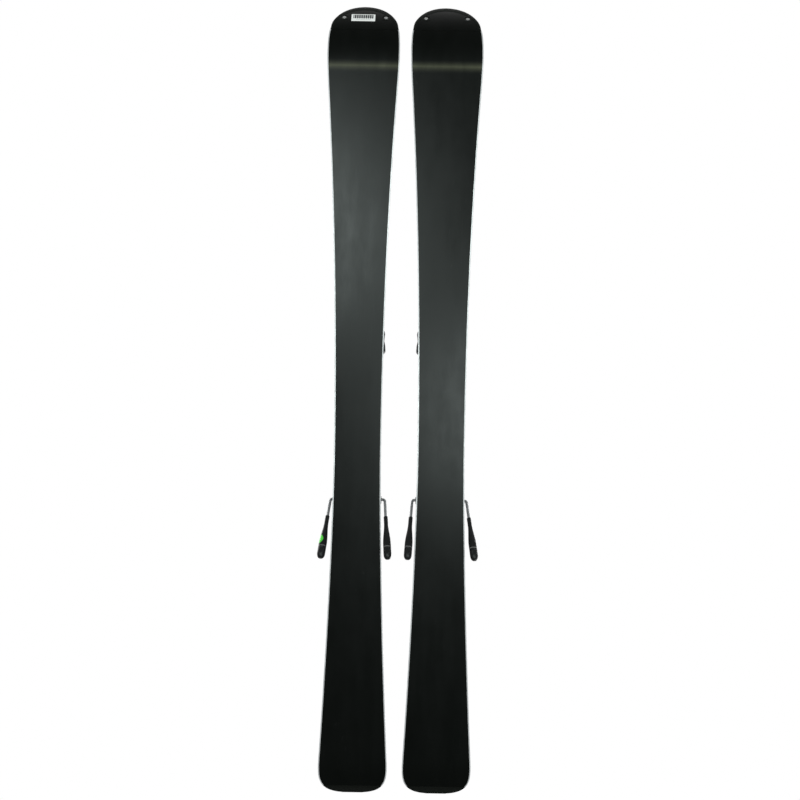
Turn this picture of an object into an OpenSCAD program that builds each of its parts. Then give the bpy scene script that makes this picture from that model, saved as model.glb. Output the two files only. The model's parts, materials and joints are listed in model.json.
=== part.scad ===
// A pair of alpine skis with release bindings and ski brakes.
// Frame: X across the pair, Y towards the tips, Z up; floor at Z = 0 under the brake feet.

/* [Ski] */
// length of one ski, tip to tail, measured straight
ski_len = 1451; // [1200:1:1800]
// width at the narrowest point, under the boot
waist_w = 85.4; // [70:0.2:110]
// width of the sidecut at the shovel
shovel_w = 134; // [110:1:150]
// width of the sidecut at the tail
tail_w = 124; // [100:0.5:140]
// thickness under the boot
waist_t = 13; // [10:0.5:18]
// thickness of the shovel
tip_t = 5; // [4:0.5:8]
// thickness of the tail
tail_t = 6; // [5:0.5:9]
// length of the upturned tip, ahead of the front contact line
tip_len = 139; // [120:1:180]
// height of the tip above the snow plane
tip_rise = 55; // [30:1:80]
// length of the upturned tail
kick_len = 60.5; // [30:0.5:90]
// height of the tail above the snow plane
tail_rise = 8; // [2:1:20]
// distance of the narrowest place behind the middle of the ski
waist_back = 122; // [0:1:150]
// distance of the thickest place behind the middle of the ski
thick_back = 33.5; // [0:0.5:90]
// height of the arch under the boot
camber = 4; // [1:0.5:8]
// gap between the two skis at their widest
pair_gap = 17; // [12:1:120]

/* [Boot interface] */
// length of the boot sole the binding is set for
sole_len = 313; // [265:1:350]
// middle of the boot sole, behind the middle of the ski
boot_setback = 52; // [0:1:90]
// height of the boot sole above the snow plane
stand_h = 41; // [38:0.5:52]
// thickness of the boot's toe lug
toe_lug_h = 19; // [17:0.5:21]
// height of the boot's heel ledge
heel_lug_h = 31.5; // [29:0.5:34]

/* [Binding] */
// width of the mounting plate
plate_w = 62; // [54:1:70]
// half width across the closed toe wings
wing_half_w = 46.5; // [43:0.5:50]
// radius of the toe spring's bore
toe_bore_r = 9.2; // [8:0.1:10]
// radius of the heel spring's bore
heel_bore_r = 10; // [9:0.1:11]
// how far the heel unit can be set back or forward
heel_adjust = 15; // [5:1:20]

/* [Brake] */
// diameter of the brake wire
wire_d = 5.2; // [4:0.1:6]
// distance of the wire's pivot ahead of the boot heel
pivot_ahead = 10; // [8:0.5:16]
// room between the ski's waist and the middle of the wire
wire_clear = 7.6; // [6:0.1:14]
// how much further out a foot ends than its wire starts
foot_splay = 7.7; // [0:0.1:14]
// length of a brake arm from pivot to foot end
arm_len = 114.4; // [90:0.2:130]
// angle of a deployed arm below the horizontal
arm_angle = 41; // [30:1:60]
// length of the crank from pivot to pedal hinge
crank_len = 50; // [40:1:56]
// angle of the raised crank above the horizontal
crank_angle = 44; // [35:1:50]
// tilt of the raised pedal
pad_tilt = 20; // [0:1:30]

/* [Hidden] */
$fn = 48;
// layers of the ski
base_t = 1.8;
top_t = 0.9;
edge_w = 2;
side_w = 4.5;
side_in = 0.5;
sheet_in = 1.2;
cap_lip = 0.8;
joint_half = 0.4;
joint_deep = 0.35;
// running fit of pins and pistons, and the open gap between moving faces
run = 0.06;
gap = 0.4;
slide_gap = 0.3;
// reach of a cutting body past what it cuts
over = 1;
below_all = -20;
cut_h = 150;
big = 400;

// lengthwise positions, from the middle of the ski
tip_y = ski_len / 2;
tail_y = -ski_len / 2;
front_y = tip_y - tip_len;
rear_y = tail_y + kick_len;
waist_y = -waist_back;
thick_y = -thick_back;
bow_mid = (front_y + rear_y) / 2;
bow_half = (front_y - rear_y) / 2;

// outline of the shovel and the tail, and how the thickness falls away
taper_pow = 1.7;
front_pow = 2.18;
rear_pow = 1.53;
pull_back = 192;
pull_y = tip_y - pull_back;
pull_len = 124.7;
pull_w = 6.75;
wide_back = 115;
wide_y = tip_y - wide_back;
cap_b = 79;
cap_y = tip_y - cap_b;
cap_in = 1.2;
cap_w = shovel_w / 2 - cap_in;
tail_b = 54;
tail_c = tail_y + tail_b;
tail_n = 3.25;
k_front = (shovel_w - waist_w) / 2 / pow(wide_y - waist_y, front_pow);
k_rear = (tail_w - waist_w) / 2 / pow(waist_y - tail_c, rear_pow);
neck_back = 57.5;
neck_y = tip_y - neck_back;
neck_l = 15;
neck_in = 1.2;
rim_w = 12;
rim_side = 5;
line_back = 64.5;
tip_line = tip_y - line_back;
arc_b = cap_b - rim_w;
arc_w = cap_w - rim_side;
lip_w = 6;
tail_cap_l = 14;
tail_line = tail_y + tail_cap_l;
tail_tongue = 18;
rivet_x = 38.5;
rivet_back = 33.5;
rivet_y = tip_y - rivet_back;
rivet_r = 3.5;
rivet_head = 1.5;
lug_r = 8;

function clamp01(v) = max(0, min(1, v));
function bottom_z(y) =
    y > front_y ? tip_rise * pow((y - front_y) / tip_len, 2)
    : y < rear_y ? tail_rise * pow((rear_y - y) / kick_len, 2)
    : camber * pow(1 - pow((y - bow_mid) / bow_half, 2), 2);
function taper_u(y) =
    y > thick_y ? clamp01((y - thick_y) / (front_y - thick_y))
    : clamp01((thick_y - y) / (thick_y - rear_y));
function thick(y) =
    waist_t - (waist_t - (y > thick_y ? tip_t : tail_t)) * pow(taper_u(y), taper_pow);
function sidecut(y) =
    waist_w / 2
    + (y > waist_y ? k_front * pow(y - waist_y, front_pow) : k_rear * pow(waist_y - y, rear_pow))
    - (y > pull_y ? pull_w * pow((y - pull_y) / pull_len, 3) : 0);
function arch(y, c, b) = sqrt(max(0, 1 - pow((y - c) / b, 2)));
function neck(y) = neck_in * pow(cos(90 * min(1, abs(y - neck_y) / neck_l)), 2);
function half_w(y) =
    y > cap_y ? min(sidecut(y), cap_w * arch(y, cap_y, cap_b)) - neck(y)
    : y < tail_c ? sidecut(tail_c) * pow(max(0, 1 - pow((tail_c - y) / tail_b, tail_n)), 1 / tail_n)
    : sidecut(y);
function arc_half(y) = arc_w * arch(y, cap_y, arc_b);

n_tail = 10;
n_body = 28;
n_shovel = 9;
n_cap = 16;
n_kick = 4;
n_bow = 20;
n_tip = 14;
plan_ys = concat(
    [for (i = [n_tail:-1:1]) tail_c - tail_b * pow(sin(90 * i / n_tail), 2 / tail_n)],
    [for (i = [0:n_body - 1]) tail_c + (pull_y - tail_c) * i / n_body],
    [for (i = [0:n_shovel - 1]) pull_y + (cap_y - pull_y) * i / n_shovel],
    [for (i = [0:n_cap]) cap_y + cap_b * sin(90 * i / n_cap)]);
side_ys = concat(
    [for (i = [0:n_kick - 1]) tail_y + kick_len * i / n_kick],
    [for (i = [0:n_bow - 1]) rear_y + (front_y - rear_y) * i / n_bow],
    [for (i = [0:n_tip]) front_y + tip_len * i / n_tip]);
low = [for (y = side_ys) [y, bottom_z(y)]];
high = [for (y = side_ys) [y, bottom_z(y) + thick(y)]];
function between(ys, a, b) = concat([a], [for (y = ys) if (y > a + 0.01 && y < b - 0.01) y], [b]);
function back(v) = [for (i = [len(v) - 1:-1:0]) v[i]];
function both_sides(p) = concat(p, [for (q = back(p)) if (q[0] > 0.01) [-q[0], q[1]]]);
function plan_pts(inset, a, b) =
    both_sides([for (y = between(plan_ys, a, b)) [max(0, half_w(y) - inset), y]]);
function arc_pts(shrink) = [for (i = [0:n_cap])
    let (y = cap_y + (arc_b - shrink) * sin(90 * i / n_cap))
    if (y > tip_line + 0.5) [(arc_w - shrink) * arch(y, cap_y, arc_b - shrink), y]];
function lay_pts(inset) = both_sides(concat(
    [for (y = between(plan_ys, tail_line, tip_line)) [half_w(y) - inset, y]],
    [[arc_half(tip_line), tip_line]],
    arc_pts(0)));

// a slab between two curves along the ski, as wide as asked
module slab(a, b, lo, lo_off, hi, hi_off, w = big) {
    ys = between(side_ys, a, b);
    rotate([90, 0, 90])
        linear_extrude(height = w, center = true)
            polygon(concat(
                [for (y = ys) [y, lookup(y, lo) + lo_off]],
                [for (y = back(ys)) [y, lookup(y, hi) + hi_off]]));
}
module plan_body(pts) {
    translate([0, 0, below_all])
        linear_extrude(height = cut_h)
            polygon(pts);
}
module lugs(r) {
    for (s = [-1, 1])
        translate([s * rivet_x, rivet_y, below_all])
            cylinder(r = r, h = cut_h);
}
module rrect(w, l, r) {
    square([w - 2 * r, l], center = true);
    square([w, l - 2 * r], center = true);
    for (i = [-1, 1], j = [-1, 1])
        translate([i * (w / 2 - r), j * (l / 2 - r)])
            circle(r = r);
}
// a rounded block given by its limits
module block(w, ya, yb, za, zb, r = 3) {
    translate([0, (ya + yb) / 2, za])
        linear_extrude(height = zb - za)
            rrect(w, yb - ya, r);
}
module box(xa, xb, ya, yb, za, zb) {
    translate([xa, ya, za])
        cube([xb - xa, yb - ya, zb - za]);
}
// a shape drawn from the side, as wide as asked
module side_shape(pts, w) {
    rotate([90, 0, 90])
        linear_extrude(height = w, center = true)
            polygon(pts);
}
module bar_x(xa, xb, y, z, r) {
    translate([xa, y, z])
        rotate([0, 90, 0])
            cylinder(r = r, h = xb - xa);
}
module bar_y(x, ya, yb, z, r) {
    translate([x, ya, z])
        rotate([-90, 0, 0])
            cylinder(r = r, h = yb - ya);
}
module bar_z(x, y, za, zb, r) {
    translate([x, y, za])
        cylinder(r = r, h = zb - za);
}
module pair() {
    for (s = [0, 1])
        mirror([s, 0, 0])
            children();
}
module rod(p, q, r) {
    d = q - p;
    l = norm(d);
    translate(p)
        rotate([0, acos(d[2] / l), atan2(d[1], d[0])])
            cylinder(r = r, h = l);
}
// a coil round the Y axis, six-sided in section
module coil(ya, yb, z, r, wire, turns) {
    per = 10;
    n = per * turns;
    rise = (yb - ya - 2 * wire) / n;
    pts = [for (i = [0:n], k = [0:5])
        let (a = 360 * i / per, c = 60 * k, q = r + wire * cos(c))
        [q * cos(a), ya + wire + rise * i + wire * sin(c) * 0.98, z + q * sin(a)]];
    walls = [for (i = [0:n - 1], k = [0:5])
        [6 * i + k, 6 * i + (k + 1) % 6, 6 * i + 6 + (k + 1) % 6, 6 * i + 6 + k]];
    polyhedron(
        points = pts,
        faces = concat([[5, 4, 3, 2, 1, 0]], walls, [[for (k = [0:5]) 6 * n + k]]),
        convexity = 8);
}

// binding heights and positions
toe_y = sole_len / 2 - boot_setback;
heel_y = -sole_len / 2 - boot_setback;
plate_t = 4;
deck_z = camber + waist_t + plate_t;
plate_front = toe_y + 60;
plate_rear = heel_y - 120 - heel_adjust;
plate_round = 8;
rail_front = heel_y + 65 + heel_adjust;
rail_start = plate_rear + 2;
rail_neck = 16;
rail_half = 22;
rail_z1 = deck_z + 3;
rail_z2 = deck_z + 6;
notch_n = 20;
notch_pitch = 6;
notch_l = 2.5;
notch_half = 5;
screw_r = 2.5;
screw_deep = 8;
screw_head_r = screw_r + 2;
screw_slot = 1;
screw_seat = deck_z - 1.2;
screw_top = deck_z + 1;
screw_ys = [plate_rear + 9, heel_y + 96, toe_y - 74, plate_front - 7.5];
screw_x = plate_w / 2 - 8;

// toe unit
afd_t = 5;
afd_z = stand_h - afd_t;
afd_w = 66;
afd_ya = toe_y - 60;
afd_yb = toe_y - 34;
afd_mid = (afd_ya + afd_yb) / 2;
shelf_lo = stand_h + 0.5;
wing_lo = shelf_lo + gap;
lug_roof = stand_h + toe_lug_h + 0.5;
wing_hi = lug_roof + 4.5;
shelf_hi = wing_hi + gap;
shelf_t = 5;
tower_top = shelf_hi + shelf_t;
bore_wall = 4.8;
tower_half = toe_bore_r + bore_wall;
wing_px = tower_half + 14;
wing_py = toe_y + 12;
shelf_w = 2 * (wing_px + 10);
pin_foot = deck_z + 11;
wing_pin_r = 3;
boss_r = 9;
lobe_r = 6.5;
lobe_x = wing_half_w - lobe_r;
lobe_y = toe_y - 26;
knuckle_r = 9;
knuckle_x = wing_half_w - 1.2 - knuckle_r;
knuckle_y = toe_y + 5.5;
finger_x = wing_px - 9;
finger_y = wing_py - 4;
finger_r = 3;
bore_z = stand_h + toe_bore_r + 3.8;
cross_front = finger_y - finger_r - slide_gap;
cross_back = cross_front - 3.5;
cross_half = finger_x + 2;
cross_half_h = 8;
tower_back = cross_front + 1.3;
pull_r = 3.5;
bore_back = toe_y + 11;
bore_front = toe_y + 40;
washer_y = toe_y + 33;
washer_t = 3;
din_r = toe_bore_r - 2.3;
toe_wire_r = 1.7;
toe_coil_r = toe_bore_r - toe_wire_r - 0.9;
tower_front = toe_y + 46;
cover_w = 60;
cover_back = toe_y + 1;
cover_front = toe_y + 49;
cover_top = tower_top + 9;

// heel unit
carriage_rear = heel_y - 88;
carriage_top = deck_z + 13;
foot_z = deck_z + 0.3;
axle_y = heel_y - 74;
axle_z = stand_h + 9;
axle_r = 4;
house_w = 52;
ear_in = house_w / 2 + 1;
ear_t = 7;
ear_out = ear_in + ear_t;
ear_mid = (ear_in + ear_out) / 2;
ear_r = 13;
hub_r = ear_r - 0.5;
cup_y = heel_y - 2;
lip_y = heel_y + 9;
house_rear = heel_y - 87;
ledge_z = stand_h + heel_lug_h + 0.5;
roof_z = ledge_z + 25;
spring_z = axle_z + axle_r + heel_bore_r + 2;
back_top = spring_z + heel_bore_r + 5;
heel_wire_r = 2.1;
heel_coil_r = heel_bore_r - heel_wire_r - 0.5;
coil_front = heel_y - 38;
coil_rear = heel_y - 77;
post_y = heel_y - 22;
post_l = 10;
post_half = 7.7;
lever_y = heel_y - 58;
lever_z = back_top + 11;
lever_ear_x = 18;
lever_ear_t = 3.4;
lever_ear_r = 7;
trunnion_r = 3;
lever_w = 28;
nose_r = 10;

// brake
wire_r = wire_d / 2;
elbow_r = wire_r + 0.2;
pivot_y = heel_y + pivot_ahead;
pivot_z = stand_h - 6;
brake_w = 66;
brake_front = heel_y + 62;
brake_top = stand_h - 11;
crank_x = 23;
wire_half = waist_w / 2 + wire_clear;
foot_half = wire_half + foot_splay;
boss_in = crank_x + elbow_r + 1.2;
boss_out = wire_half - wire_r - 3.7;
pivot_boss_r = wire_r + 3.4;
crank_y = pivot_y + crank_len * cos(crank_angle);
crank_z = pivot_z + crank_len * sin(crank_angle);
arm_run = sqrt(pow(arm_len, 2) - pow(foot_half - wire_half, 2));
arm_tip = [foot_half, pivot_y - arm_run * cos(arm_angle), pivot_z - arm_run * sin(arm_angle)];
arm_root = [wire_half, pivot_y, pivot_z];
function along(s) = arm_root + (arm_tip - arm_root) * (s / arm_len);
sheath = 37;
wire_end = 78;
swell_at = 94;
swell_r = 6.6;
swell_scale = [1, 1.25, 1.25];
neck_r = wire_r + 1.1;
foot_r = 7;
pin_end = 12;
barrel_r = wire_r + 1.8;
barrel_half = crank_x - wire_r - 0.9;
pad_w = 54;
pad_rear = -26;
pad_front = 18;
pad_top = stand_h - pivot_z;
floor_h = foot_r - arm_tip[2];
side_x = (max(shovel_w, tail_w) + pair_gap) / 2;

module base_sheet() {
    color([0.05, 0.05, 0.055])
        difference() {
            intersection() {
                plan_body(lay_pts(edge_w));
                slab(tail_line, tip_y - rim_w, low, 0, low, base_t);
            }
            lugs(lug_r);
            slab(tip_line - joint_half, tip_line + joint_half, low, -over, low, joint_deep);
        }
}
module steel_edges() {
    color([0.72, 0.73, 0.75])
        difference() {
            intersection() {
                plan_body(plan_pts(0, tail_line, tip_line));
                slab(tail_line, tip_line, low, 0, low, base_t);
            }
            plan_body(plan_pts(edge_w, tail_line - over, tip_line + over));
        }
}
module core() {
    color([0.72, 0.55, 0.34])
        difference() {
            intersection() {
                plan_body(lay_pts(side_w));
                slab(tail_line, tip_y - rim_w, low, base_t, high, -top_t);
            }
            lugs(lug_r);
            screw_holes();
        }
}
module sidewalls() {
    color([0.08, 0.08, 0.09])
        difference() {
            intersection() {
                plan_body(plan_pts(side_in, tail_line, tip_line));
                slab(tail_line, tip_line, low, base_t, high, -top_t);
            }
            plan_body(plan_pts(side_w, tail_line - over, tip_line + over));
        }
}
module top_sheet() {
    color([0.13, 0.14, 0.16])
        difference() {
            intersection() {
                plan_body(lay_pts(sheet_in));
                slab(tail_line, tip_y - rim_w, high, -top_t, high, 0);
            }
            lugs(lug_r);
            screw_holes();
        }
}
module tip_cap() {
    color([0.07, 0.07, 0.08])
        difference() {
            union() {
                intersection() {
                    difference() {
                        plan_body(plan_pts(0, tip_line, tip_y));
                        plan_body(both_sides(concat(
                            [[arc_half(tip_line), tip_line - rim_side], [arc_half(tip_line), tip_line]],
                            arc_pts(0))));
                    }
                    slab(tip_line, tip_y, low, 0, high, cap_lip);
                }
                intersection() {
                    lugs(lug_r);
                    slab(tip_line, tip_y, low, 0, high, cap_lip);
                }
                intersection() {
                    difference() {
                        plan_body(both_sides(concat(
                            [[arc_half(tip_line), tip_line], [arc_half(tip_line), tip_line + 0.2]],
                            arc_pts(0))));
                        plan_body(both_sides(concat(
                            [[arc_half(tip_line) - lip_w, tip_line - rim_side]],
                            arc_pts(lip_w))));
                    }
                    slab(tip_line, tip_y, high, 0, high, cap_lip);
                }
            }
            lugs(rivet_r);
        }
}
module tip_rivets() {
    color([0.62, 0.63, 0.65])
        union() {
            intersection() {
                lugs(rivet_r);
                slab(tip_line, tip_y, low, 0, high, cap_lip);
            }
            intersection() {
                lugs(rivet_r + rivet_head);
                slab(tip_line, tip_y, high, cap_lip, high, cap_lip + 1);
            }
        }
}
module tail_cap() {
    color([0.07, 0.07, 0.08])
        union() {
            intersection() {
                plan_body(plan_pts(0, tail_y, tail_line));
                slab(tail_y, tail_line, low, 0, high, cap_lip);
            }
            intersection() {
                plan_body(plan_pts(sheet_in, tail_line, tail_line + tail_tongue));
                slab(tail_line, tail_line + tail_tongue, high, 0, high, cap_lip);
            }
        }
}
module screw_holes() {
    for (y = screw_ys, s = [-1, 1])
        bar_z(s * screw_x, y, deck_z - plate_t - screw_deep, deck_z + over, screw_r);
}
module plate_screws() {
    color([0.55, 0.56, 0.58])
        for (y = screw_ys, s = [-1, 1])
            difference() {
                union() {
                    bar_z(s * screw_x, y, deck_z - plate_t - screw_deep, screw_seat, screw_r);
                    bar_z(s * screw_x, y, screw_seat, screw_top, screw_head_r);
                }
                for (a = [0, 90])
                    translate([s * screw_x, y, screw_top])
                        rotate([0, 0, a])
                            cube([2 * screw_r, screw_slot, 2 * screw_slot], center = true);
            }
}
module binding_plate() {
    color([0.10, 0.10, 0.11])
        difference() {
            union() {
                intersection() {
                    block(plate_w, plate_rear, plate_front, 0, deck_z, plate_round);
                    slab(plate_rear, plate_front, high, 0, [[tail_y, deck_z], [tip_y, deck_z]], 0);
                }
                box(-rail_neck, rail_neck, rail_start, rail_front, deck_z, rail_z1);
                box(-rail_half, rail_half, rail_start, rail_front, rail_z1, rail_z2);
            }
            screw_holes();
            for (y = screw_ys, s = [-1, 1])
                bar_z(s * screw_x, y, screw_seat, rail_z2 + over, screw_head_r);
            for (i = [0:notch_n - 1])
                translate([0, rail_start + 10 + notch_pitch * i, 0])
                    box(-notch_half, notch_half, 0, notch_l, rail_z2 - 2, rail_z2 + over);
            for (i = [0:2], s = [-1, 1])
                translate([s * 15, rail_front + 20 + 20 * i, 0])
                    box(-9, 9, -6, 6, deck_z - 1.5, deck_z + over);
        }
}

module toe_base() {
    color([0.12, 0.12, 0.13])
        difference() {
            union() {
                block(afd_w - 2, afd_ya - 6, toe_y + 36, deck_z, deck_z + 8, 6);
                block(afd_w - 8, afd_ya, afd_yb, deck_z, afd_z - 1.5, 3);
                block(afd_w - 24, afd_ya + 6, afd_yb - 6, deck_z, afd_z, 2);
                block(shelf_w, toe_y + 2, toe_y + 23, deck_z + 6, shelf_lo, 7);
                block(shelf_w, toe_y + 3, toe_y + 24, shelf_hi, tower_top, 7);
                box(-tower_half, tower_half, tower_back, bore_front, deck_z, tower_top);
                block(2 * wing_px, toe_y + 25, tower_front, deck_z + 2, tower_top, 8);
            }
            bar_y(0, tower_back - over, bore_front, bore_z, pull_r + run);
            bar_y(0, bore_back, bore_front, bore_z, toe_bore_r);
            bar_y(0, bore_front - over, tower_front + over, bore_z, din_r + run);
            for (s = [-1, 1])
                bar_z(s * wing_px, wing_py, pin_foot, tower_top + over, wing_pin_r);
            for (s = [-1, 1], i = [0:3])
                translate([s * wing_px, 0, deck_z + 14 + 8 * i])
                    box(-1.2, 1.2, toe_y + 26, tower_front - 1, 0, 3);
        }
}
module toe_cover() {
    color([0.55, 0.78, 0.10])
        difference() {
            intersection() {
                block(cover_w, cover_back, cover_front, tower_top, cover_top, 10);
                side_shape([[cover_back, tower_top], [cover_front, tower_top], [cover_front, tower_top + 2],
                    [cover_front - 9, cover_top - 1.5], [cover_front - 19, cover_top],
                    [cover_back + 9, cover_top], [cover_back, tower_top + 5]], cover_w);
            }
            block(10, toe_y + 16, toe_y + 34, cover_top - 1.2, cover_top + over, 3);
            for (s = [-1, 1], i = [0:2])
                translate([s * 18, toe_y + 14 + 6 * i, cover_top])
                    box(-5, 5, 0, 2.5, -1, over);
        }
}
module wing_right() {
    difference() {
        union() {
            translate([0, 0, wing_lo])
                linear_extrude(height = wing_hi - wing_lo)
                    union() {
                        translate([wing_px, wing_py])
                            circle(r = boss_r);
                        translate([lobe_x, lobe_y])
                            circle(r = lobe_r);
                        translate([knuckle_x, knuckle_y])
                            circle(r = knuckle_r);
                        translate([finger_x, finger_y])
                            circle(r = finger_r);
                        polygon([[finger_x, finger_y - finger_r], [wing_px - 2, finger_y - 2],
                            [knuckle_x - 7, knuckle_y - 6], [lobe_x - lobe_r, lobe_y + 2],
                            [lobe_x - lobe_r, lobe_y], [lobe_x + lobe_r, lobe_y],
                            [wing_half_w - 0.6, toe_y - 16], [wing_half_w - 2.6, toe_y - 7],
                            [knuckle_x + knuckle_r - 0.4, knuckle_y - 2.5],
                            [knuckle_x + 4, knuckle_y + 8], [wing_px + 3, wing_py + 8.5],
                            [finger_x, finger_y + finger_r]]);
                    }
            translate([0, 0, lug_roof])
                linear_extrude(height = wing_hi - lug_roof)
                    polygon([[knuckle_x - 7, knuckle_y - 6.5], [lobe_x - lobe_r - 5, lobe_y + 8],
                        [lobe_x - lobe_r - 4, lobe_y - 1], [lobe_x, lobe_y - 2], [lobe_x, knuckle_y - 6]]);
        }
        bar_z(wing_px, wing_py, wing_lo - over, wing_hi + over, wing_pin_r + run);
        for (z = [wing_lo + 6, wing_lo + 12])
            box(wing_half_w - 1.6, wing_half_w + over, toe_y - 24, toe_y - 11, z, z + 2);
    }
}
module toe_wing_right() {
    color([0.16, 0.16, 0.17])
        wing_right();
}
module toe_wing_left() {
    color([0.16, 0.16, 0.17])
        mirror([1, 0, 0])
            wing_right();
}
module toe_wing_pins() {
    color([0.6, 0.61, 0.63])
        for (s = [-1, 1])
            bar_z(s * wing_px, wing_py, pin_foot, tower_top, wing_pin_r);
}
module toe_piston() {
    color([0.6, 0.61, 0.63])
        union() {
            box(-cross_half, cross_half, cross_back, cross_front,
                bore_z - cross_half_h, bore_z + cross_half_h);
            bar_y(0, cross_back, washer_y + over, bore_z, pull_r);
            bar_y(0, washer_y, washer_y + washer_t, bore_z, toe_bore_r - run);
        }
}
module toe_spring() {
    color([0.5, 0.5, 0.52])
        coil(bore_back, washer_y, bore_z, toe_coil_r, toe_wire_r, 5);
}
module toe_din_screw() {
    color([0.62, 0.63, 0.65])
        difference() {
            bar_y(0, bore_front, tower_front + 1.5, bore_z, din_r);
            box(-din_r, din_r, tower_front, tower_front + 2, bore_z - 0.9, bore_z + 0.9);
        }
}
module afd_plate() {
    color([0.78, 0.79, 0.80])
        difference() {
            block(afd_w, afd_ya, afd_yb, afd_z, stand_h, 4);
            for (i = [-2:2])
                translate([0, afd_mid + 4.4 * i, stand_h])
                    box(9 - afd_w / 2, afd_w / 2 - 9, -0.6, 0.6, -0.7, over);
        }
}

// the hooked channel that rides on the rail
module channel(ya, yb) {
    neck = rail_neck + slide_gap;
    half = rail_half + slide_gap;
    box(-neck, neck, ya - over, yb + over, deck_z - over, rail_z1);
    box(-half, half, ya - over, yb + over, rail_z1 - slide_gap, rail_z2 + slide_gap);
}
module heel_carriage() {
    color([0.12, 0.12, 0.13])
        difference() {
            union() {
                block(2 * ear_out, carriage_rear, heel_y, foot_z, carriage_top, 4);
                box(-post_half, post_half, post_y, post_y + post_l, carriage_top - over, spring_z);
                for (s = [-1, 1])
                    translate([s * ear_mid, 0, 0]) {
                        box(-ear_t / 2, ear_t / 2, axle_y - ear_r, axle_y + ear_r,
                            carriage_top - over, axle_z);
                        bar_x(-ear_t / 2, ear_t / 2, axle_y, axle_z, ear_r);
                    }
            }
            channel(carriage_rear, heel_y);
            bar_x(-ear_out - over, ear_out + over, axle_y, axle_z, axle_r);
            for (i = [0:3], s = [-1, 1])
                translate([s * ear_out, heel_y - 56 + 12 * i, 0])
                    box(-1, 1, 0, 6, foot_z + 3, carriage_top - 3);
        }
}
module heel_housing() {
    color([0.14, 0.14, 0.15])
        difference() {
            union() {
                intersection() {
                    side_shape([[cup_y, stand_h + 1], [cup_y, ledge_z], [lip_y - 1, ledge_z],
                        [lip_y, ledge_z + 3], [lip_y - 5, ledge_z + 11], [heel_y - 12, roof_z - 2],
                        [heel_y - 24, roof_z], [heel_y - 44, roof_z - 3], [heel_y - 52, back_top + 4],
                        [house_rear + 3, back_top], [house_rear, back_top - 4], [house_rear, axle_z + 2],
                        [house_rear + 3, axle_z], [axle_y, axle_z], [axle_y + 8, carriage_top + 3],
                        [heel_y - 6, carriage_top + 3]], house_w);
                    block(house_w, house_rear, lip_y, 0, cut_h, 9);
                }
                bar_x(-house_w / 2, house_w / 2, axle_y, axle_z, hub_r);
                for (s = [-1, 1])
                    translate([s * lever_ear_x, lever_y, 0]) {
                        box(-lever_ear_t, lever_ear_t, -lever_ear_r, lever_ear_r, back_top, lever_z);
                        bar_x(-lever_ear_t, lever_ear_t, 0, lever_z, lever_ear_r);
                    }
            }
            bar_x(-house_w, house_w, axle_y, axle_z, axle_r + run);
            bar_x(-house_w, house_w, lever_y, lever_z, trunnion_r + run);
            bar_y(0, house_rear - over, post_y + over, spring_z, heel_bore_r);
            box(-post_half - 0.5, post_half + 0.5, post_y - 8, post_y + post_l + 3, 0, spring_z + 6);
            block(8, heel_y - 40, heel_y - 20, roof_z - 4, roof_z + over, 2.5);
            for (s = [-1, 1], i = [0:3])
                translate([s * house_w / 2, heel_y - 46 + 9 * i, 0])
                    box(-1.2, 1.2, 0, 4, stand_h + 12, ledge_z - 2);
        }
}
module heel_lever() {
    color([0.55, 0.78, 0.10])
        difference() {
            union() {
                intersection() {
                    side_shape([[lever_y + 5, lever_z - 3], [lever_y + 6, lever_z + 2],
                        [lever_y + 2, lever_z + 7], [lever_y - 8, lever_z + 10],
                        [lever_y - 40, lever_z + 19], [lever_y - 60, lever_z + 27],
                        [lever_y - 63, lever_z + 25], [lever_y - 61, lever_z + 21],
                        [lever_y - 38, lever_z + 12], [lever_y - 12, lever_z + 2],
                        [lever_y - 4, lever_z - 4.5]], 60);
                    union() {
                        block(lever_w, lever_y - 14, lever_y + 8, 0, cut_h, 2);
                        block(lever_w + 12, lever_y - 64, lever_y - 12, 0, cut_h, 9);
                    }
                }
                bar_x(-lever_ear_x - lever_ear_t, lever_ear_x + lever_ear_t, lever_y, lever_z, trunnion_r);
            }
            translate([0, lever_y - 44, lever_z + 27])
                sphere(r = 10);
        }
}
module heel_axle() {
    color([0.6, 0.61, 0.63])
        bar_x(-ear_out, ear_out, axle_y, axle_z, axle_r);
}
module heel_piston() {
    color([0.6, 0.61, 0.63])
        union() {
            bar_y(0, coil_front, post_y - 8.4, spring_z, heel_bore_r - run);
            intersection() {
                bar_y(0, post_y - 9, post_y - slide_gap, spring_z, 7);
                translate([0, post_y - slide_gap - nose_r, spring_z])
                    sphere(r = nose_r);
            }
        }
}
module heel_spring() {
    color([0.5, 0.5, 0.52])
        coil(coil_rear, coil_front, spring_z, heel_coil_r, heel_wire_r, 6);
}
module heel_din_screw() {
    color([0.62, 0.63, 0.65])
        difference() {
            bar_y(0, house_rear - 1.5, coil_rear, spring_z, heel_bore_r - run);
            box(-heel_bore_r, heel_bore_r, house_rear - 3, house_rear, spring_z - 1, spring_z + 1);
        }
}

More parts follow.
